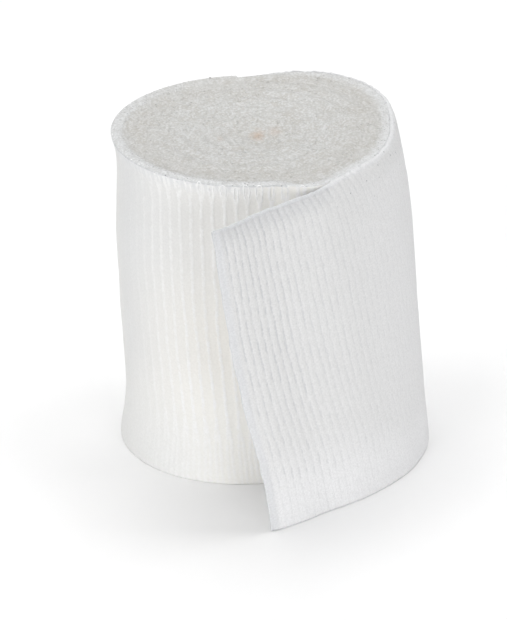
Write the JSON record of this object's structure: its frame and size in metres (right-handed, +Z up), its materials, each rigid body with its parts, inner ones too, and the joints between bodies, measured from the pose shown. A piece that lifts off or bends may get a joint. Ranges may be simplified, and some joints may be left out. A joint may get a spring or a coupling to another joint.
{
  "type": "elastic bandage roll",
  "caption": "Ribbed elastic crepe bandage wound into a roll and standing on its end, its last turn loosened into a skirt that leads to a cut end standing free at the front.",
  "frame": {"origin": "centre of the roll's flat base, on the surface it stands on", "axes": "+Z up along the roll's winding axis, -Y towards the free cut end at the front, +X to the side where the last turn stands away from the roll"},
  "size_m": [0.0757, 0.0903, 0.08],
  "materials": {
    "bandage_cloth": "matt ribbed elastic cotton crepe, off-white"
  },
  "bodies": {
    "root": {"roll": "bandage_cloth", "loose_end": "bandage_cloth"}
  },
  "joints": []
}
